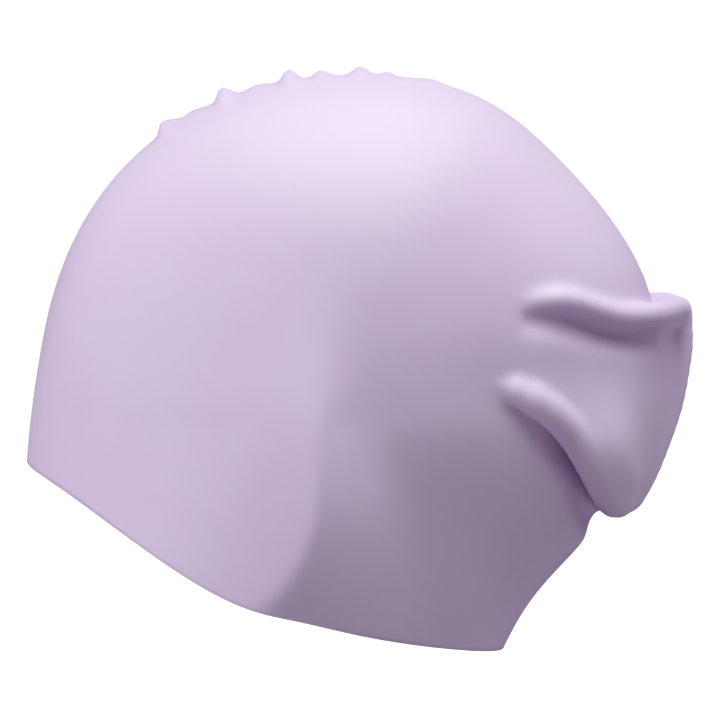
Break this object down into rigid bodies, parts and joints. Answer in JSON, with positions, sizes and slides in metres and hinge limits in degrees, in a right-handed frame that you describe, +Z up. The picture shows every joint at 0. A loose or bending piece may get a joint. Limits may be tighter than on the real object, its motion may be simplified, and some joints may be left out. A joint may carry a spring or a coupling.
{
  "type": "swim cap",
  "caption": "Long-hair swim cap moulded in one piece: smooth crown with low ribs on top, a raised pocket over each ear and a soft hair pouch fallen into folds at the back.",
  "frame": {"origin": "top of the hollow, inside the crown on the mirror plane, where the cap sits on the head", "axes": "+Z up, the face side towards -X and the hair pouch towards +X, mirror plane at y = 0"},
  "size_m": [0.2221, 0.1744, 0.1924],
  "materials": {
    "lilac_silicone": "matte"
  },
  "bodies": {
    "root": {"cap_shell": "lilac_silicone"}
  },
  "joints": []
}
